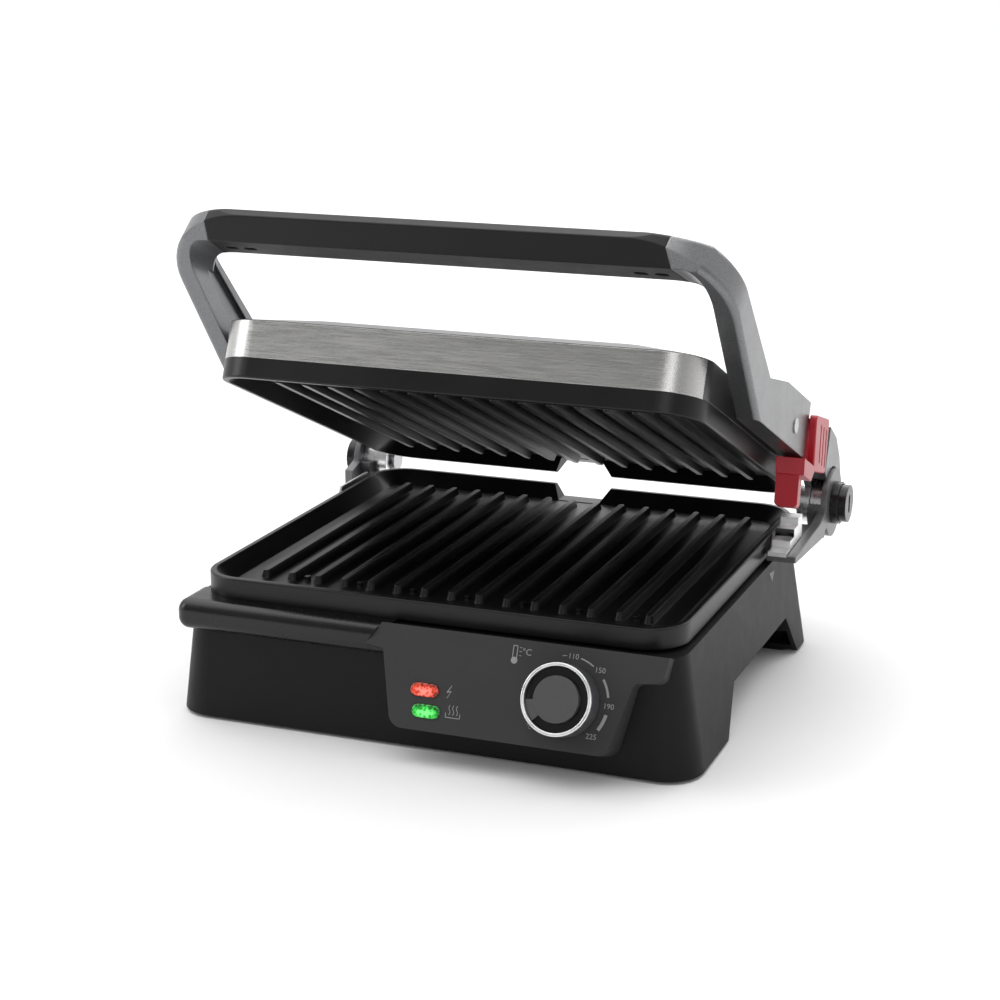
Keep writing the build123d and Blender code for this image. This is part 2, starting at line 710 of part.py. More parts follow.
with BuildPart() as hinge_pins:
    for s in (-1, 1):
        add(rod(side(s * (WEB_IN - 5)), HINGE, PIN_R, s * (160.5 - WEB_IN + 5)))
        add(rod(side(s * (WEB_IN - 5)), HINGE, PIN_R + 2.5, -s * 1.8))
save(hinge_pins, "hinge_pins")

STEPS = 4
STEP_FRONT, STEP_DEPTH, STEP_RISE, STEP_LOW = 46.0, 10.0, 4.8, 78.6
RACK_IN, RACK_OUT = 147.6, 158.9

with BuildPart() as step_rack:
    for n in range(STEPS):
        front, top = STEP_FRONT + n * STEP_DEPTH, STEP_LOW + n * STEP_RISE
        back = STEP_FRONT + STEPS * STEP_DEPTH
        tread = [(front, FLOOR_Z + FLOOR_T), (front, top), (back, top), (back, FLOOR_Z + FLOOR_T)]
        add(slab(side(RACK_IN), tread, RACK_OUT - RACK_IN))
save(step_rack, "step_rack")

with BuildPart() as collars:
    for s in (-1, 1):
        add(rod(side(s * ARM_OUT), HINGE, HEAD_R + 1.6, s * 5.0))
        hole = HEAD_R + 0.3 if s > 0 else HEAD_R - 2
        add(rod(side(s * (ARM_OUT - 1)), HINGE, hole, s * 8), mode=Mode.SUBTRACT)
save(collars, "hinge_collars")

with BuildPart() as hinge_cap:
    add(rod(side(-ARM_OUT), HINGE, HEAD_R - 2, -(END_X - ARM_OUT)))
    add(rod(side(-ARM_OUT - 5), HINGE, HEAD_R, -(END_X - ARM_OUT - 5)))
save(hinge_cap, "hinge_cap")

with BuildPart() as release_button:
    add(rod(side(END_X), HINGE, HEAD_R, -(END_X - ARM_OUT - BUTTON_TRAVEL - 0.5)))
    add(rod(side(END_X), HINGE, BUTTON_R, -(END_X - 164.3)))
    with BuildSketch(side(END_X)):
        with Locations(HINGE):
            SlotOverall(12, 4, rotation=90)
    extrude(amount=-1.2, mode=Mode.SUBTRACT)
save(release_button, "release_button")


# ---------------------------------------------------------------- height lever
LEVER_TRAVEL = 33.0
LEVER_IN, LEVER_OUT, THUMB_OUT = ARM_IN + 0.3, 165.6, 170.0
BLOCK = ((46.2, 97.5), (46.2, 120.5), (80.5, 124.2), (85, 97.5))
HOOK = ((25.7, 92.7), (28.7, 83), (50, 83), (58, 92.7))
LEG = ((30.5, 86), (35.6, 64.5), (42.8, 64.5), (39, 86))
THUMB = ((43.5, 122.5), (53.5, 89.5), (87.5, 93.8), (80.6, 127.0))

TAB_OUT = 166.6
with BuildPart() as height_lever:
    add(slab(lid_side(LEVER_IN), BLOCK, LEVER_OUT - LEVER_IN))
    add(slab(lid_side(LEVER_IN), HOOK, THUMB_OUT - LEVER_IN))
    with BuildPart(mode=Mode.PRIVATE) as tab:
        add(slab(lid_side(LEVER_IN), LEG, TAB_OUT - LEVER_IN))
        ends = [tab.edges().sort_by_distance((x, *opened(39.2, 64.5)))[0] for x in (LEVER_IN, TAB_OUT)]
        fillet(ends, 2.5)
    add(tab.part)
    with BuildPart(mode=Mode.PRIVATE) as thumb:
        add(slab(lid_side(LEVER_OUT), THUMB, THUMB_OUT - LEVER_OUT))
        fillet(thumb.edges().filter_by(Axis.X), 3.5)
        fillet(thumb.faces().sort_by(Axis.X)[-1].edges(), 1.0)
    add(thumb.part)
    # join between the hook and the block, behind the arm's end
    join = ((46.2, 90), (46.2, 100), (60, 100), (57, 90))
    add(slab(lid_side(LEVER_IN), join, LEVER_OUT - LEVER_IN))
    for n in range(3):
        with BuildSketch(lid_side(THUMB_OUT)):
            with Locations((62.5 + 8 * n, 108)):
                SlotOverall(24, 2.0, rotation=106)
        extrude(amount=-0.9, mode=Mode.SUBTRACT)
    # guide that rides in the arm's slot
    with BuildSketch(lid_side(LEVER_IN)):
        with Locations((SLOT_Y + 6.3, SLOT_Z)):
            Rectangle(12, SLOT_TALL - 0.6)
    extrude(amount=-(LEVER_IN - WEB_IN + 0.3))
save(height_lever, "height_lever")

with BuildPart() as lever_clip:
    with BuildSketch(lid_side(WEB_IN - 0.3)):
        with Locations((SLOT_Y + 6.3, SLOT_Z)):
            RectangleRounded(18, 13, 2)
    extrude(amount=-1.0)
save(lever_clip, "lever_clip")


# ---------------------------------------------------------------- temperature knob
KNOB_AT = (KNOB_X, -KNOB_DOWN)
RING_IN, CAP_R = 17.8, 12.7
POINTER_AT = 206.0  # degrees from +X on the face, at the off mark


def disc(out, radius, height, bore=0.0):
    """A disc or a washer on the knob's axis."""
    with BuildPart() as piece:
        with BuildSketch(panel(out)):
            with Locations(KNOB_AT):
                Circle(radius)
                if bore:
                    Circle(bore, mode=Mode.SUBTRACT)
        extrude(amount=height)
    return piece.part


with BuildPart() as knob_body:
    add(disc(0.6, KNOB_R, KNOB_H - 1.6))
    chamfer(knob_body.faces().sort_by(Axis((0, 0, 0), panel().z_dir))[0].edges(), 0.6)
    add(disc(KNOB_H - 4.0, RING_IN, 6, CAP_R), mode=Mode.SUBTRACT)
    add(disc(0, SHAFT_R, 10), mode=Mode.SUBTRACT)
save(knob_body, "knob_body")

with BuildPart() as knob_shaft:
    add(disc(-14.0, SHAFT_R, 24.0))
save(knob_shaft, "knob_shaft")

with BuildPart() as knob_ring:
    add(disc(KNOB_H - 1.0, KNOB_R, 1.6, RING_IN))
    outer = knob_ring.faces().sort_by(Axis((0, 0, 0), panel().z_dir))[-1].edges()
    fillet(outer, 0.6)
save(knob_ring, "knob_ring")

with BuildPart() as knob_cap:
    add(disc(KNOB_H - 1.0, CAP_R, 1.2))
save(knob_cap, "knob_cap")

with BuildPart() as knob_insert:
    add(disc(KNOB_H - 4.0, RING_IN, 0.8, CAP_R))
save(knob_insert, "knob_insert")

with BuildPart() as knob_pointer:
    add(disc(KNOB_H - 3.2, RING_IN - 0.1, 1.4, CAP_R + 0.1))
    edges = [radians(POINTER_AT + side_angle) for side_angle in (-20, 20)]
    fan = [(KNOB_X + 30 * cos(a), -KNOB_DOWN + 30 * sin(a)) for a in edges]
    add(slab(panel(KNOB_H - 5.0), [KNOB_AT, *fan], 6), mode=Mode.INTERSECT)
save(knob_pointer, "knob_pointer")


# ---------------------------------------------------------------- grease tray
TRAY_W, TRAY_FRONT, TRAY_BACK, TRAY_Z = 120.0, 78.0, 149.0, 9.0

with BuildPart() as tray_rails:
    for s in (-1, 1):
        rail = [(65, BELLY_Z), (65, 21), (61, 21), (61, 22.5), (63.5, 22.5), (63.5, BELLY_Z)]
        with BuildSketch(upright(72)):
            with BuildLine():
                Polyline(*[(s * x, z) for x, z in rail], close=True)
            make_face()
        extrude(amount=-39)
save(tray_rails, "tray_rails")

with BuildPart() as grease_tray:
    with BuildSketch(level(TRAY_Z)):
        with Locations((0, (TRAY_FRONT + TRAY_BACK) / 2)):
            RectangleRounded(TRAY_W, TRAY_BACK - TRAY_FRONT, 8)
    extrude(amount=15.8)
    with BuildSketch(level(TRAY_Z + 14.0)):
        with Locations((0, (TRAY_FRONT + TRAY_BACK) / 2)):
            RectangleRounded(TRAY_W + 6, TRAY_BACK - TRAY_FRONT + 4, 9)
    extrude(amount=1.8)
    with BuildSketch(level(TRAY_Z + 1.6)):
        with Locations((0, (TRAY_FRONT + TRAY_BACK) / 2)):
            RectangleRounded(TRAY_W - 4, TRAY_BACK - TRAY_FRONT - 4, 6)
    extrude(amount=20, mode=Mode.SUBTRACT)
save(grease_tray, "grease_tray")

with BuildPart() as pan_screws:
    with BuildSketch(level(BELLY_Z)):
        with GridLocations(220, 90, 2, 2):
            with Locations((0, 11)):
                Circle(3.4)
    extrude(amount=-1.6)
save(pan_screws, "pan_screws")
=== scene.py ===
"""The looks of the contact grill: finishes of every piece, printed dial marks, floor, light and camera."""

import json
import math

import bpy
from mathutils import Matrix, Vector


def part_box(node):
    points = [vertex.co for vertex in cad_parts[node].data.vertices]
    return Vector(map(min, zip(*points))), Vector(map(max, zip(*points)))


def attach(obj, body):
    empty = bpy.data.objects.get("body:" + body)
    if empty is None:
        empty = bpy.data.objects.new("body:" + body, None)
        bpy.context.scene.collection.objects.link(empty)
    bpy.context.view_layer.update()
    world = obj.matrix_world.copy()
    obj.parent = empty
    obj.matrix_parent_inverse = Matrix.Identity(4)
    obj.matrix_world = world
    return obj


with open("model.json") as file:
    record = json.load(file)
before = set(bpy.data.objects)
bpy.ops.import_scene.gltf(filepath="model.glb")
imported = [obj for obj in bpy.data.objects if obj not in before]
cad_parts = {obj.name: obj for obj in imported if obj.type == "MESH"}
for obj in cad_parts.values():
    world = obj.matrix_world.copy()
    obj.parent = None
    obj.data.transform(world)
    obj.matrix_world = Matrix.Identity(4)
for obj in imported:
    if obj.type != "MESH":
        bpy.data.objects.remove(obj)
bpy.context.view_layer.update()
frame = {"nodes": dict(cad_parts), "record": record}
NODES = frame["nodes"]
scene = bpy.context.scene
scene.view_settings.view_transform = "Standard"
scene.view_settings.look = "None"

# ---------------------------------------------------------------- where things are, metres
PANEL_TILT = math.radians(22)
PANEL_ORIGIN = Vector((0.0, -0.144, 0.073))
KNOB_X, KNOB_DOWN = 0.0889, 0.0296
PRINT_R = 0.0242  # radius of the printed scale round the knob


# ---------------------------------------------------------------- procedural finishes
class Nodes:
    """A small helper that adds and links shader nodes in one material."""

    def __init__(self, name):
        self.material = bpy.data.materials.new(name)
        self.material.use_nodes = True
        self.tree = self.material.node_tree
        self.shader = self.tree.nodes["Principled BSDF"]
        self.place = self.add("ShaderNodeTexCoord").outputs["Object"]

    def add(self, kind, **settings):
        node = self.tree.nodes.new(kind)
        for key, value in settings.items():
            setattr(node, key, value)
        return node

    def link(self, source, target):
        self.tree.links.new(source, target)

    def stretched(self, scale):
        """The piece's own coordinates, scaled along each axis."""
        mapping = self.add("ShaderNodeMapping")
        mapping.inputs["Scale"].default_value = scale
        self.link(self.place, mapping.inputs["Vector"])
        return mapping.outputs["Vector"]

    def noise(self, scale, detail=3.0, vector=None, roughness=0.55):
        node = self.add("ShaderNodeTexNoise")
        node.inputs["Scale"].default_value = scale
        node.inputs["Detail"].default_value = detail
        node.inputs["Roughness"].default_value = roughness
        self.link(vector or self.place, node.inputs["Vector"])
        return node.outputs["Fac"]

    def spread(self, value, low, high, start=0.35, end=0.65):
        """Maps a noise value onto a range."""
        node = self.add("ShaderNodeMapRange")
        for name, number in (("From Min", start), ("From Max", end), ("To Min", low), ("To Max", high)):
            node.inputs[name].default_value = number
        self.link(value, node.inputs["Value"])
        return node.outputs["Result"]

    def mix(self, factor, first, second):
        """A colour between two, each a colour or an output of another node."""
        node = self.add("ShaderNodeMix", data_type="RGBA")
        self.link(factor, node.inputs["Factor"])
        for name, colour in (("A", first), ("B", second)):
            target = [i for i in node.inputs if i.name == name and i.type == "RGBA"][0]
            if isinstance(colour, tuple):
                target.default_value = (*colour, 1.0)
            else:
                self.link(colour, target)
        return [o for o in node.outputs if o.type == "RGBA"][0]

    def rounded(self, radius, samples=4):
        """A normal that softens sharp edges."""
        node = self.add("ShaderNodeBevel", samples=samples)
        node.inputs["Radius"].default_value = radius
        return node.outputs["Normal"]

    def bump(self, height, strength, distance, normal=None):
        node = self.add("ShaderNodeBump")
        node.inputs["Strength"].default_value = strength
        node.inputs["Distance"].default_value = distance
        self.link(height, node.inputs["Height"])
        if normal:
            self.link(normal, node.inputs["Normal"])
        return node.outputs["Normal"]

    def edges(self, normal, start=0.02, end=0.25):
        """1 along sharp edges and 0 on flat faces."""
        geometry = self.add("ShaderNodeNewGeometry")
        dot = self.add("ShaderNodeVectorMath", operation="DOT_PRODUCT")
        self.link(normal, dot.inputs[0])
        self.link(geometry.outputs["Normal"], dot.inputs[1])
        flip = self.add("ShaderNodeMath", operation="SUBTRACT")
        flip.inputs[0].default_value = 1.0
        self.link(dot.outputs["Value"], flip.inputs[1])
        return self.spread(flip.outputs[0], 0.0, 1.0, start, end)

    def set(self, **values):
        for name, value in values.items():
            self.shader.inputs[name.replace("_", " ")].default_value = value


def tint(colour, factor):
    return tuple(min(1.0, c * factor) for c in colour)


def plastic(
    name, colour, roughness, grain=2200.0, bump=0.25, specular=0.4, radius=0.0008, highlight_gain=0.5, coat=0.0
):
    """Moulded plastic: a fine texture, slow changes of tone and gloss, and painted highlights along its
    edges.
    """
    n = Nodes(name)
    soft = n.rounded(radius)
    clouds = n.noise(30.0, 5.0)
    base = n.mix(n.spread(clouds, 0.0, 1.0, 0.25, 0.75), tint(colour, 0.92), tint(colour, 1.08))
    fine = n.noise(grain, 2.0)
    base = n.mix(n.spread(fine, 0.0, 0.35, 0.45, 0.75), base, tint(colour, 1.6))
    # painted edge highlight: the colour is made lighter along sharp edges, where light would catch them
    painted_highlight = n.mix(n.edges(soft, 0.03, 0.6), base, tint(colour, 1.0 + highlight_gain))
    n.link(painted_highlight, n.shader.inputs["Base Color"])
    smudge = n.noise(85.0, 6.0)
    n.link(n.spread(smudge, roughness - 0.02, roughness + 0.03, 0.3, 0.7), n.shader.inputs["Roughness"])
    n.link(n.bump(fine, bump, 0.00012, soft), n.shader.inputs["Normal"])
    n.set(Specular_IOR_Level=specular)
    if coat:
        n.set(Coat_Weight=coat, Coat_Roughness=0.12)
    return n.material


def metallic_paint(name, colour, roughness, metal=0.75, radius=0.0011):
    """Metallic paint: fine flakes under a soft satin surface."""
    n = Nodes(name)
    soft = n.rounded(radius)
    flake = n.add("ShaderNodeTexVoronoi")
    flake.inputs["Scale"].default_value = 2600.0
    n.link(n.place, flake.inputs["Vector"])
    split = n.add("ShaderNodeSeparateColor")
    n.link(flake.outputs["Color"], split.inputs["Color"])
    base = n.mix(n.spread(split.outputs["Red"], 0.0, 1.0, 0.0, 1.0), tint(colour, 0.8), tint(colour, 1.22))
    clouds = n.noise(20.0, 5.0)
    base = n.mix(n.spread(clouds, 0.0, 0.10, 0.25, 0.75), base, tint(colour, 0.8))
    # painted edge highlight: the colour is made lighter along sharp edges, where light would catch them
    painted_highlight = n.mix(n.edges(soft, 0.04, 0.7), base, tint(colour, 1.35))
    n.link(painted_highlight, n.shader.inputs["Base Color"])
    smudge = n.noise(70.0, 6.0)
    n.link(n.spread(smudge, roughness - 0.02, roughness + 0.03, 0.3, 0.7), n.shader.inputs["Roughness"])
    peel = n.noise(900.0, 2.0)
    n.link(n.bump(peel, 0.12, 0.0001, soft), n.shader.inputs["Normal"])
    n.set(Metallic=metal)
    return n.material


def brushed(name, colour, roughness, along="x", radius=0.0006, depth=0.35):
    """Brushed metal: long fine scratches along one axis, with darker and brighter streaks."""
    n = Nodes(name)
    soft = n.rounded(radius)
    axis = "xyz".index(along)
    fine = [2600.0, 2600.0, 2600.0]
    fine[axis] = 45.0
    coarse = [700.0, 700.0, 700.0]
    coarse[axis] = 14.0
    lines = n.noise(1.0, 3.0, n.stretched(fine), 0.6)
    bands = n.noise(1.0, 3.0, n.stretched(coarse), 0.5)
    base = n.mix(n.spread(lines, 0.0, 1.0), tint(colour, 0.90), tint(colour, 1.08))
    base = n.mix(n.spread(bands, 0.0, 0.4), base, tint(colour, 0.88))
    n.link(base, n.shader.inputs["Base Color"])
    n.link(n.spread(lines, roughness - 0.04, roughness + 0.06), n.shader.inputs["Roughness"])
    n.link(n.bump(lines, depth, 0.00003, soft), n.shader.inputs["Normal"])
    n.set(Metallic=1.0, Anisotropic=0.4)
    return n.material


def polished(name, colour, roughness, radius=0.0004):
    """Plated metal with faint smears."""
    n = Nodes(name)
    soft = n.rounded(radius)
    smear = n.noise(90.0, 5.0)
    n.link(n.mix(n.spread(smear, 0.0, 1.0), tint(colour, 0.9), colour), n.shader.inputs["Base Color"])
    n.link(n.spread(smear, roughness * 0.7, roughness * 1.5), n.shader.inputs["Roughness"])
    fine = n.noise(1400.0, 2.0)
    n.link(n.bump(fine, 0.05, 0.00005, soft), n.shader.inputs["Normal"])
    n.set(Metallic=1.0)
    return n.material


def nonstick(name):
    """A baked non-stick coat: near black, with a fine pebble texture and faint rubbed patches."""
    n = Nodes(name)
    colour = (0.0050, 0.0050, 0.0053)
    soft = n.rounded(0.0007)
    pebble = n.noise(1500.0, 3.0)
    speck = n.noise(4200.0, 1.0)
    clouds = n.noise(18.0, 4.0)
    base = n.mix(n.spread(clouds, 0.0, 1.0), tint(colour, 0.8), tint(colour, 1.3))
    base = n.mix(n.spread(speck, 0.0, 0.5, 0.6, 0.8), base, tint(colour, 3.2))
    # painted edge highlight: the coat is made lighter along its sharp edges, standing in for the rim's
    # highlight
    base = n.mix(n.edges(soft, 0.03, 0.5), base, tint(colour, 1.8))
    n.link(base, n.shader.inputs["Base Color"])
    n.link(n.spread(clouds, 0.30, 0.36, 0.3, 0.7), n.shader.inputs["Roughness"])
    n.link(n.bump(pebble, 0.30, 0.00016, soft), n.shader.inputs["Normal"])
    n.set(Specular_IOR_Level=0.32)
    return n.material


def lamp_lens(name, colour, glow, node):
    """A faceted translucent lens: glowing in its middle, deep-coloured towards its dark ends."""
    n = Nodes(name)
    soft = n.rounded(0.0006)
    low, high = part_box(node)
    middle = (low + high) / 2
    centred = n.add("ShaderNodeMapping", vector_type="POINT")
    centred.inputs["Location"].default_value = [-c * k for c, k in zip(middle, (120.0, 90.0, 260.0))]
    centred.inputs["Scale"].default_value = (120.0, 90.0, 260.0)
    n.link(n.place, centred.inputs["Vector"])
    away = n.add("ShaderNodeVectorMath", operation="LENGTH")
    n.link(centred.outputs["Vector"], away.inputs[0])
    facet = n.add("ShaderNodeTexVoronoi")
    facet.inputs["Scale"].default_value = 520.0
    n.link(n.place, facet.inputs["Vector"])
    sparkle = n.spread(facet.outputs["Distance"], 0.35, -0.30, 0.1, 0.6)
    bend = n.add("ShaderNodeMath", operation="ADD")
    n.link(away.outputs["Value"], bend.inputs[0])
    n.link(sparkle, bend.inputs[1])
    core = n.spread(bend.outputs[0], 1.0, 0.0, 0.15, 0.55)
    halo = n.spread(bend.outputs[0], 1.0, 0.0, 0.45, 1.15)
    deep = n.mix(halo, tint(colour, 0.10), tint(colour, 0.75))
    n.link(n.mix(core, deep, tuple(0.12 + 0.88 * c for c in colour)), n.shader.inputs["Base Color"])
    light = n.mix(halo, (0.0, 0.0, 0.0), tint(colour, 0.55))
    n.link(n.mix(core, light, tuple(0.12 + 0.88 * c for c in colour)), n.shader.inputs["Emission Color"])
    n.link(n.spread(sparkle, 0.12, 0.25, -0.3, 0.35), n.shader.inputs["Roughness"])
    n.link(n.bump(facet.outputs["Distance"], 0.4, 0.0004, soft), n.shader.inputs["Normal"])
    n.set(Emission_Strength=glow, Coat_Weight=0.6, Coat_Roughness=0.05)
    return n.material


def ink(name, colour):
    """Printed marks: a thin slightly uneven layer of ink."""
    n = Nodes(name)
    spots = n.noise(1600.0, 3.0)
    n.link(n.mix(n.spread(spots, 0.0, 1.0), tint(colour, 0.86), colour), n.shader.inputs["Base Color"])
    n.link(n.spread(spots, 0.42, 0.58), n.shader.inputs["Roughness"])
    n.link(n.bump(spots, 0.1, 0.00003), n.shader.inputs["Normal"])
    return n.material


FINISH = {
    "body_plastic": plastic("Body plastic", (0.0065, 0.0065, 0.0070), 0.46, specular=0.16),
    "console_plastic": plastic("Console plastic", (0.0330, 0.0330, 0.0340), 0.55, grain=2600, specular=0.22),
    "trim_plastic": plastic(
        "Gloss trim", (0.0040, 0.0040, 0.0045), 0.26, grain=1200, bump=0.06, specular=0.4
    ),
    "bracket_plastic": metallic_paint("Bracket grey", (0.145, 0.145, 0.15), 0.36, metal=0.6),
    "nonstick": nonstick("Non-stick coat"),
    "brushed_steel": brushed("Brushed steel", (0.58, 0.575, 0.565), 0.27, "x"),
    "steel_rack": brushed("Satin steel", (0.92, 0.92, 0.92), 0.40, "x", radius=0.0003, depth=0.10),
    "chrome": polished("Chrome", (0.92, 0.92, 0.93), 0.24),
    "cover_paint": metallic_paint("Cover paint", (0.100, 0.100, 0.104), 0.34, metal=0.8),
    "arm_paint": metallic_paint("Arm paint", (0.175, 0.177, 0.182), 0.32, metal=0.9),
    "grip_plastic": plastic(
        "Grip plastic", (0.0045, 0.0045, 0.0047), 0.36, grain=1800, specular=0.2, radius=0.0016
    ),
    "lever_plastic": plastic(
        "Red plastic", (0.34, 0.008, 0.018), 0.30, grain=1500, bump=0.10, specular=0.4, highlight_gain=0.3
    ),
    "lamp_red": lamp_lens("Red lens", (0.80, 0.07, 0.03), 0.75, "lamp_red"),
    "lamp_green": lamp_lens("Green lens", (0.03, 0.62, 0.06), 0.75, "lamp_green"),
    "knob_side": metallic_paint("Knob side", (0.12, 0.12, 0.13), 0.34, metal=0.6, radius=0.0004),
    "knob_ring": polished("Knob ring", (0.95, 0.95, 0.95), 0.32),
    "knob_cap": plastic("Knob cap", (0.0650, 0.0650, 0.0670), 0.50, grain=2600, specular=0.25, radius=0.0003),
    "pointer": plastic("Pointer", (0.085, 0.085, 0.088), 0.45, grain=2600, specular=0.3, radius=0.0002),
    "rubber_foot": plastic("Rubber", (0.0110, 0.0110, 0.0110), 0.78, grain=1400, bump=0.5, specular=0.2),
    "zinc_steel": brushed("Zinc plate", (0.50, 0.50, 0.51), 0.34, "y"),
    "element": polished("Heater tube", (0.20, 0.19, 0.18), 0.42),
    "reflector_sheet": brushed("Reflector sheet", (0.70, 0.70, 0.71), 0.30, "x"),
    "inner_plastic": plastic("Inner plastic", (0.55, 0.53, 0.47), 0.55, specular=0.35),
}
INK = ink("Printed marks", (0.27, 0.27, 0.27))
SOFT_INK = ink("Faint print", (0.16, 0.16, 0.16))

for part in frame["record"]["subparts"]:
    mesh = NODES[part["node"]].data
    mesh.materials.clear()
    mesh.materials.append(FINISH[part["material_slot"]])


# ---------------------------------------------------------------- shared mesh making
def piece(name, verts, faces, material, body, smooth=False):
    """A mesh object that rides on a body."""
    mesh = bpy.data.meshes.new(name)
    mesh.from_pydata([tuple(v) for v in verts], [], faces)
    mesh.update()
    mesh.validate()
    for polygon in mesh.polygons:
        polygon.use_smooth = smooth
    obj = bpy.data.objects.new(name, mesh)
    scene.collection.objects.link(obj)
    obj.data.materials.append(material)
    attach(obj, body)
    return obj


def on_panel(x, down, out=0.0):
    """A point on the console's face: across, down from its top edge, and out of the face."""
    c, s = math.cos(PANEL_TILT), math.sin(PANEL_TILT)
    return PANEL_ORIGIN + Vector((x, 0, 0)) - down * Vector((0, s, c)) + out * Vector((0, -c, s))


LIFT, INK_T = 0.00003, 0.00010


def plate_from(loops, place):
    """The vertices and faces of thin flat prints, each a loop of 2-D points set by place(x, y, out)."""
    verts, faces = [], []
    for loop in loops:
        start, count = len(verts), len(loop)
        verts += [place(x, y, LIFT) for x, y in loop]
        verts += [place(x, y, LIFT + INK_T) for x, y in loop]
        faces.append([start + count + i for i in range(count)])
        faces.append([start + count - 1 - i for i in range(count)])
        for i in range(count):
            j = (i + 1) % count
            faces.append([start + i, start + j, start + count + j, start + count + i])
    return verts, faces


def arc_loop(radius, width, start, end, step=2.0):
    """A flat band along an arc, as a closed loop of x and y about its centre."""
    count = max(2, int(abs(end - start) / step))
    angles = [math.radians(start + (end - start) * i / count) for i in range(count + 1)]
    far, near = radius + width / 2, radius - width / 2
    outer = [(far * math.cos(a), far * math.sin(a)) for a in angles]
    inner = [(near * math.cos(a), near * math.sin(a)) for a in reversed(angles)]
    return inner[::-1] + outer[::-1] if end > start else inner + outer


def stroke_loops(points, width):
    """A polyline drawn with a flat pen, as one rectangle for each of its runs."""
    loops = []
    for (x0, y0), (x1, y1) in zip(points, points[1:]):
        length = math.hypot(x1 - x0, y1 - y0)
        ux, uy = (x1 - x0) / length, (y1 - y0) / length
        px, py = -uy * width / 2, ux * width / 2
        x0, y0, x1, y1 = x0 - ux * width / 2, y0 - uy * width / 2, x1 + ux * width / 2, y1 + uy * width / 2
        loops.append([(x0 + px, y0 + py), (x0 - px, y0 - py), (x1 - px, y1 - py), (x1 + px, y1 + py)])
    return loops


def print_marks(name, loops, material=INK):
    """Flat prints on the console's face, in x and up-the-face coordinates."""
    verts, faces = plate_from(loops, lambda x, y, out: on_panel(x, -y, out))
    return piece(name, verts, faces, material, "base")


def shifted(loops, x, y):
    return [[(px + x, py + y) for px, py in loop] for loop in loops]


def words(name, text, x, down, height, body="base"):
    """Generic figures printed on the console's face, centred on a point."""
    curve = bpy.data.curves.new(name + "_curve", "FONT")
    curve.body = text
    curve.size = height * 1.38
    curve.align_x, curve.align_y = "CENTER", "CENTER"
    curve.extrude = INK_T / 2
    curve.resolution_u = 3
    maker = bpy.data.objects.new(name + "_maker", curve)
    scene.collection.objects.link(maker)
    graph = bpy.context.evaluated_depsgraph_get()
    mesh = bpy.data.meshes.new_from_object(maker.evaluated_get(graph))
    bpy.data.objects.remove(maker)
    c, s = math.cos(PANEL_TILT), math.sin(PANEL_TILT)
    turn = Matrix(((1, 0, 0), (0, s, -c), (0, c, s))).to_4x4()
    mesh.transform(Matrix.Translation(on_panel(x, down, LIFT + INK_T / 2)) @ turn)
    obj = bpy.data.objects.new(name, mesh)
    scene.collection.objects.link(obj)
    obj.data.materials.clear()
    obj.data.materials.append(INK)
    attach(obj, body)
    return obj


# ---------------------------------------------------------------- printed marks on the console
SCALE_FIGURES = (
    ("110", 0.0905, 0.0056),
    ("150", 0.1063, 0.0112),
    ("190", 0.1135, 0.0297),
    ("225", 0.1060, 0.0468),
)  # the figure, and where its centre is on the console: across and down
for label, x, down in SCALE_FIGURES:
    words(f"print_{label}", label, x, down, 0.0030)
words("print_degree_c", "°C", 0.0640, 0.0066, 0.0036)

scale_arcs = [
    arc_loop(PRINT_R, 0.00040, 95, 101),
    arc_loop(PRINT_R, 0.00075, 56, 76),
    arc_loop(PRINT_R, 0.00125, 11, 35),
    arc_loop(PRINT_R, 0.00185, -33, -11),
]
print_marks("print_scale", shifted(scale_arcs, KNOB_X, -KNOB_DOWN))

off_ring = [arc_loop(0.00085, 0.00030, a, a + 45) for a in range(0, 360, 45)]
off_marks = [arc_loop(PRINT_R, 0.0012, 208, 210), arc_loop(PRINT_R, 0.0012, 217, 219)]
off_loops = shifted(off_ring, 0.0712, -0.0462) + shifted(off_marks, KNOB_X, -KNOB_DOWN)
print_marks("print_off", off_loops, SOFT_INK)

stem = stroke_loops([(-0.0012, -0.0012), (-0.0012, 0.0052), (0.0012, 0.0052), (0.0012, -0.0012)], 0.00045)
BULB_R, BULB_DOWN = 0.0019, 0.0028
turns = [math.radians(a) for a in range(0, 360, 20)]
bulb = [[(BULB_R * math.cos(a), -BULB_DOWN + BULB_R * math.sin(a)) for a in turns]]
ticks = []
for i in range(3):
    ticks += stroke_loops([(0.0026, 0.0044 - 0.0022 * i), (0.0036, 0.0044 - 0.0022 * i)], 0.00035)
print_marks("print_thermometer", shifted(stem + bulb + ticks, 0.0572, -0.0088))

bolt = [
    [(0.0011, 0.0036), (-0.0014, -0.0002), (-0.0007, -0.0002), (0.0014, 0.0036)],
    [(-0.0014, -0.0002), (0.0013, 0.0006), (0.0013, 0.0001), (-0.0014, -0.0007)],
    [(0.0013, 0.0006), (-0.0011, -0.0036), (-0.0008, -0.0036), (0.0013, 0.0001)],
]
print_marks("print_power", shifted(bolt, 0.0224, -0.0333))

waves = []
for i in (-1, 0, 1):
    bend = [(0.0022 * i + 0.00055 * math.sin(t * 1.25), -0.0006 + 0.0010 * t) for t in range(6)]
    waves += stroke_loops(bend, 0.00038)
hob = stroke_loops([(-0.0042, 0.0), (-0.0042, -0.0022), (0.0042, -0.0022), (0.0042, 0.0)], 0.00042)
print_marks("print_heat", shifted(waves + hob, 0.0262, -0.0450))


# ---------------------------------------------------------------- mark on the base's side
WALL_TOP_X, WALL_TOP_Z = 0.1485, 0.070
WALL_SPREAD, WALL_DROP = 9.5, 68.0  # how far the wall leans out over its height, in any one unit


def on_wall(y, z, out):
    """A point on the base's sloping right wall, under the step rack."""
    slope = math.atan2(WALL_SPREAD, WALL_DROP)
    x = WALL_TOP_X + (WALL_TOP_Z - z) * math.tan(slope)
    return Vector((x + out * math.cos(slope), y, z + out * math.sin(slope)))


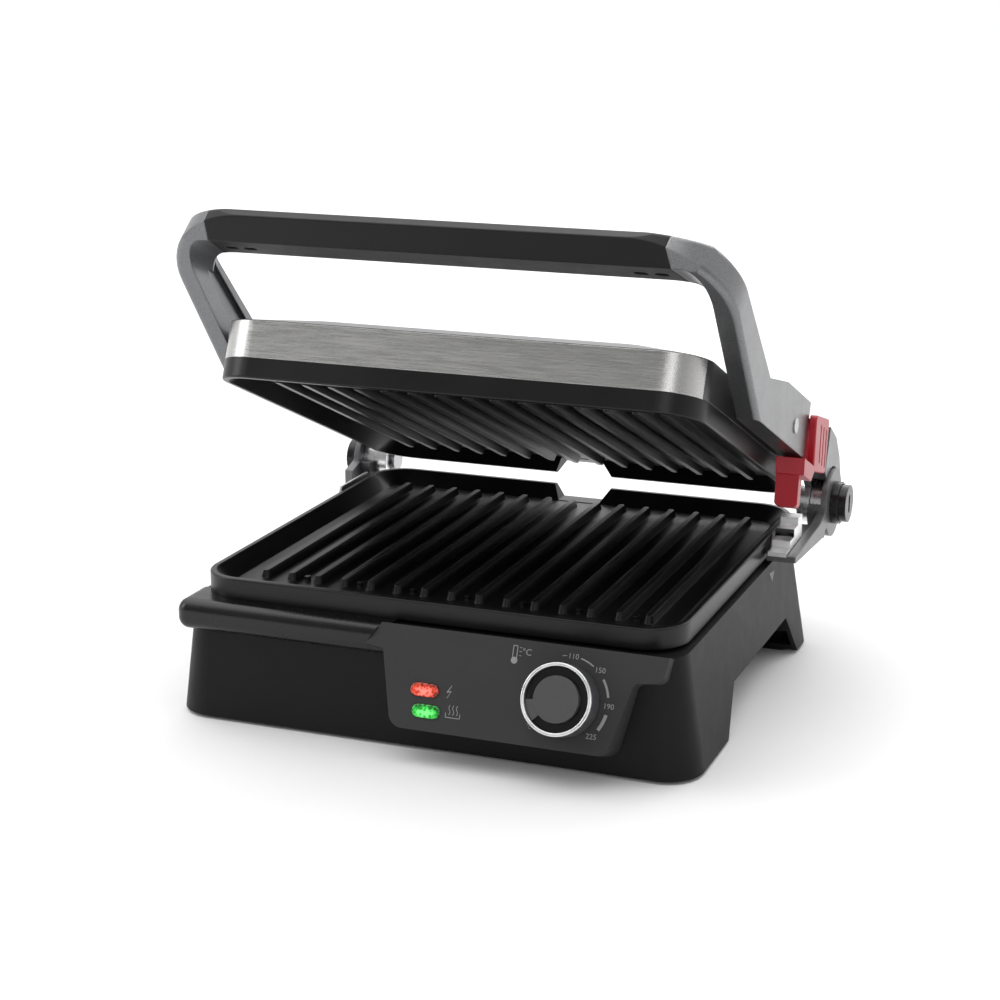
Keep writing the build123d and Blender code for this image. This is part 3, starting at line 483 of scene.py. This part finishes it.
arrow = [(0.0450, 0.0652), (0.0570, 0.0636), (0.0500, 0.0588)]
verts, faces = plate_from([arrow], on_wall)
piece("print_arrow", verts, faces, SOFT_INK, "base")


# ---------------------------------------------------------------- floor, light and camera
floor_mesh = bpy.data.meshes.new("floor")
floor_mesh.from_pydata([(-90, -90, 0), (90, -90, 0), (90, 90, 0), (-90, 90, 0)], [], [(0, 1, 2, 3)])
floor = bpy.data.objects.new("floor", floor_mesh)
scene.collection.objects.link(floor)
paper = Nodes("Paper")
tone = paper.noise(3.0, 3.0)
shade = paper.mix(paper.spread(tone, 0.0, 1.0), (0.80, 0.80, 0.80), (0.83, 0.83, 0.83))
paper.link(shade, paper.shader.inputs["Base Color"])
paper.set(Roughness=0.9, Specular_IOR_Level=0.1)
floor.data.materials.append(paper.material)

world = bpy.data.worlds.new("studio")
scene.world = world
world.use_nodes = True
sky = world.node_tree
background = sky.nodes["Background"]
background.inputs["Strength"].default_value = 1.0
direction = sky.nodes.new("ShaderNodeTexCoord").outputs["Generated"]
split = sky.nodes.new("ShaderNodeSeparateXYZ")
sky.links.new(direction, split.inputs["Vector"])
ramp = sky.nodes.new("ShaderNodeMapRange")
for name, number in (("From Min", -0.75), ("From Max", 0.35), ("To Min", 0.30), ("To Max", 1.0)):
    ramp.inputs[name].default_value = number
sky.links.new(split.outputs["Y"], ramp.inputs["Value"])
sky.links.new(ramp.outputs["Result"], background.inputs["Color"])


def softbox(name, place, target, size, power):
    """A rectangular soft light that faces a point."""
    light = bpy.data.lights.new(name, "AREA")
    light.shape = "RECTANGLE"
    light.size, light.size_y = size
    light.energy = power
    obj = bpy.data.objects.new(name, light)
    scene.collection.objects.link(obj)
    obj.location = place
    obj.rotation_mode = "QUATERNION"
    obj.rotation_quaternion = (Vector(target) - Vector(place)).to_track_quat("-Z", "Y")


sun = bpy.data.lights.new("sun", "SUN")
sun.energy, sun.angle = 1.7, 1.4
sun_object = bpy.data.objects.new("sun", sun)
scene.collection.objects.link(sun_object)
sun_object.rotation_euler = (math.radians(-8), math.radians(-10), 0)
softbox("top", (-0.3, 0.2, 2.4), (0, 0, 0.1), (2.4, 1.6), 8.0)
softbox("left", (-2.4, -1.2, 1.3), (0, 0, 0.15), (1.0, 1.8), 22.0)
softbox("front", (0.9, -3.2, 1.6), (0, 0, 0.1), (1.6, 0.9), 16.0)
softbox("behind", (0.3, 2.4, 1.5), (0, 0, 0.2), (2.6, 0.8), 20.0)

camera = bpy.data.objects.new("camera", bpy.data.cameras.new("camera"))
scene.collection.objects.link(camera)
camera.data.sensor_width = 36.0
camera.data.lens = 78.13
camera.data.clip_start = 0.05
camera.location = (0.4501, -1.1860, 0.4596)
camera.rotation_mode = "QUATERNION"
camera.rotation_quaternion = Vector((-0.34748, 0.89888, -0.26695)).to_track_quat("-Z", "Y")
scene.camera = camera
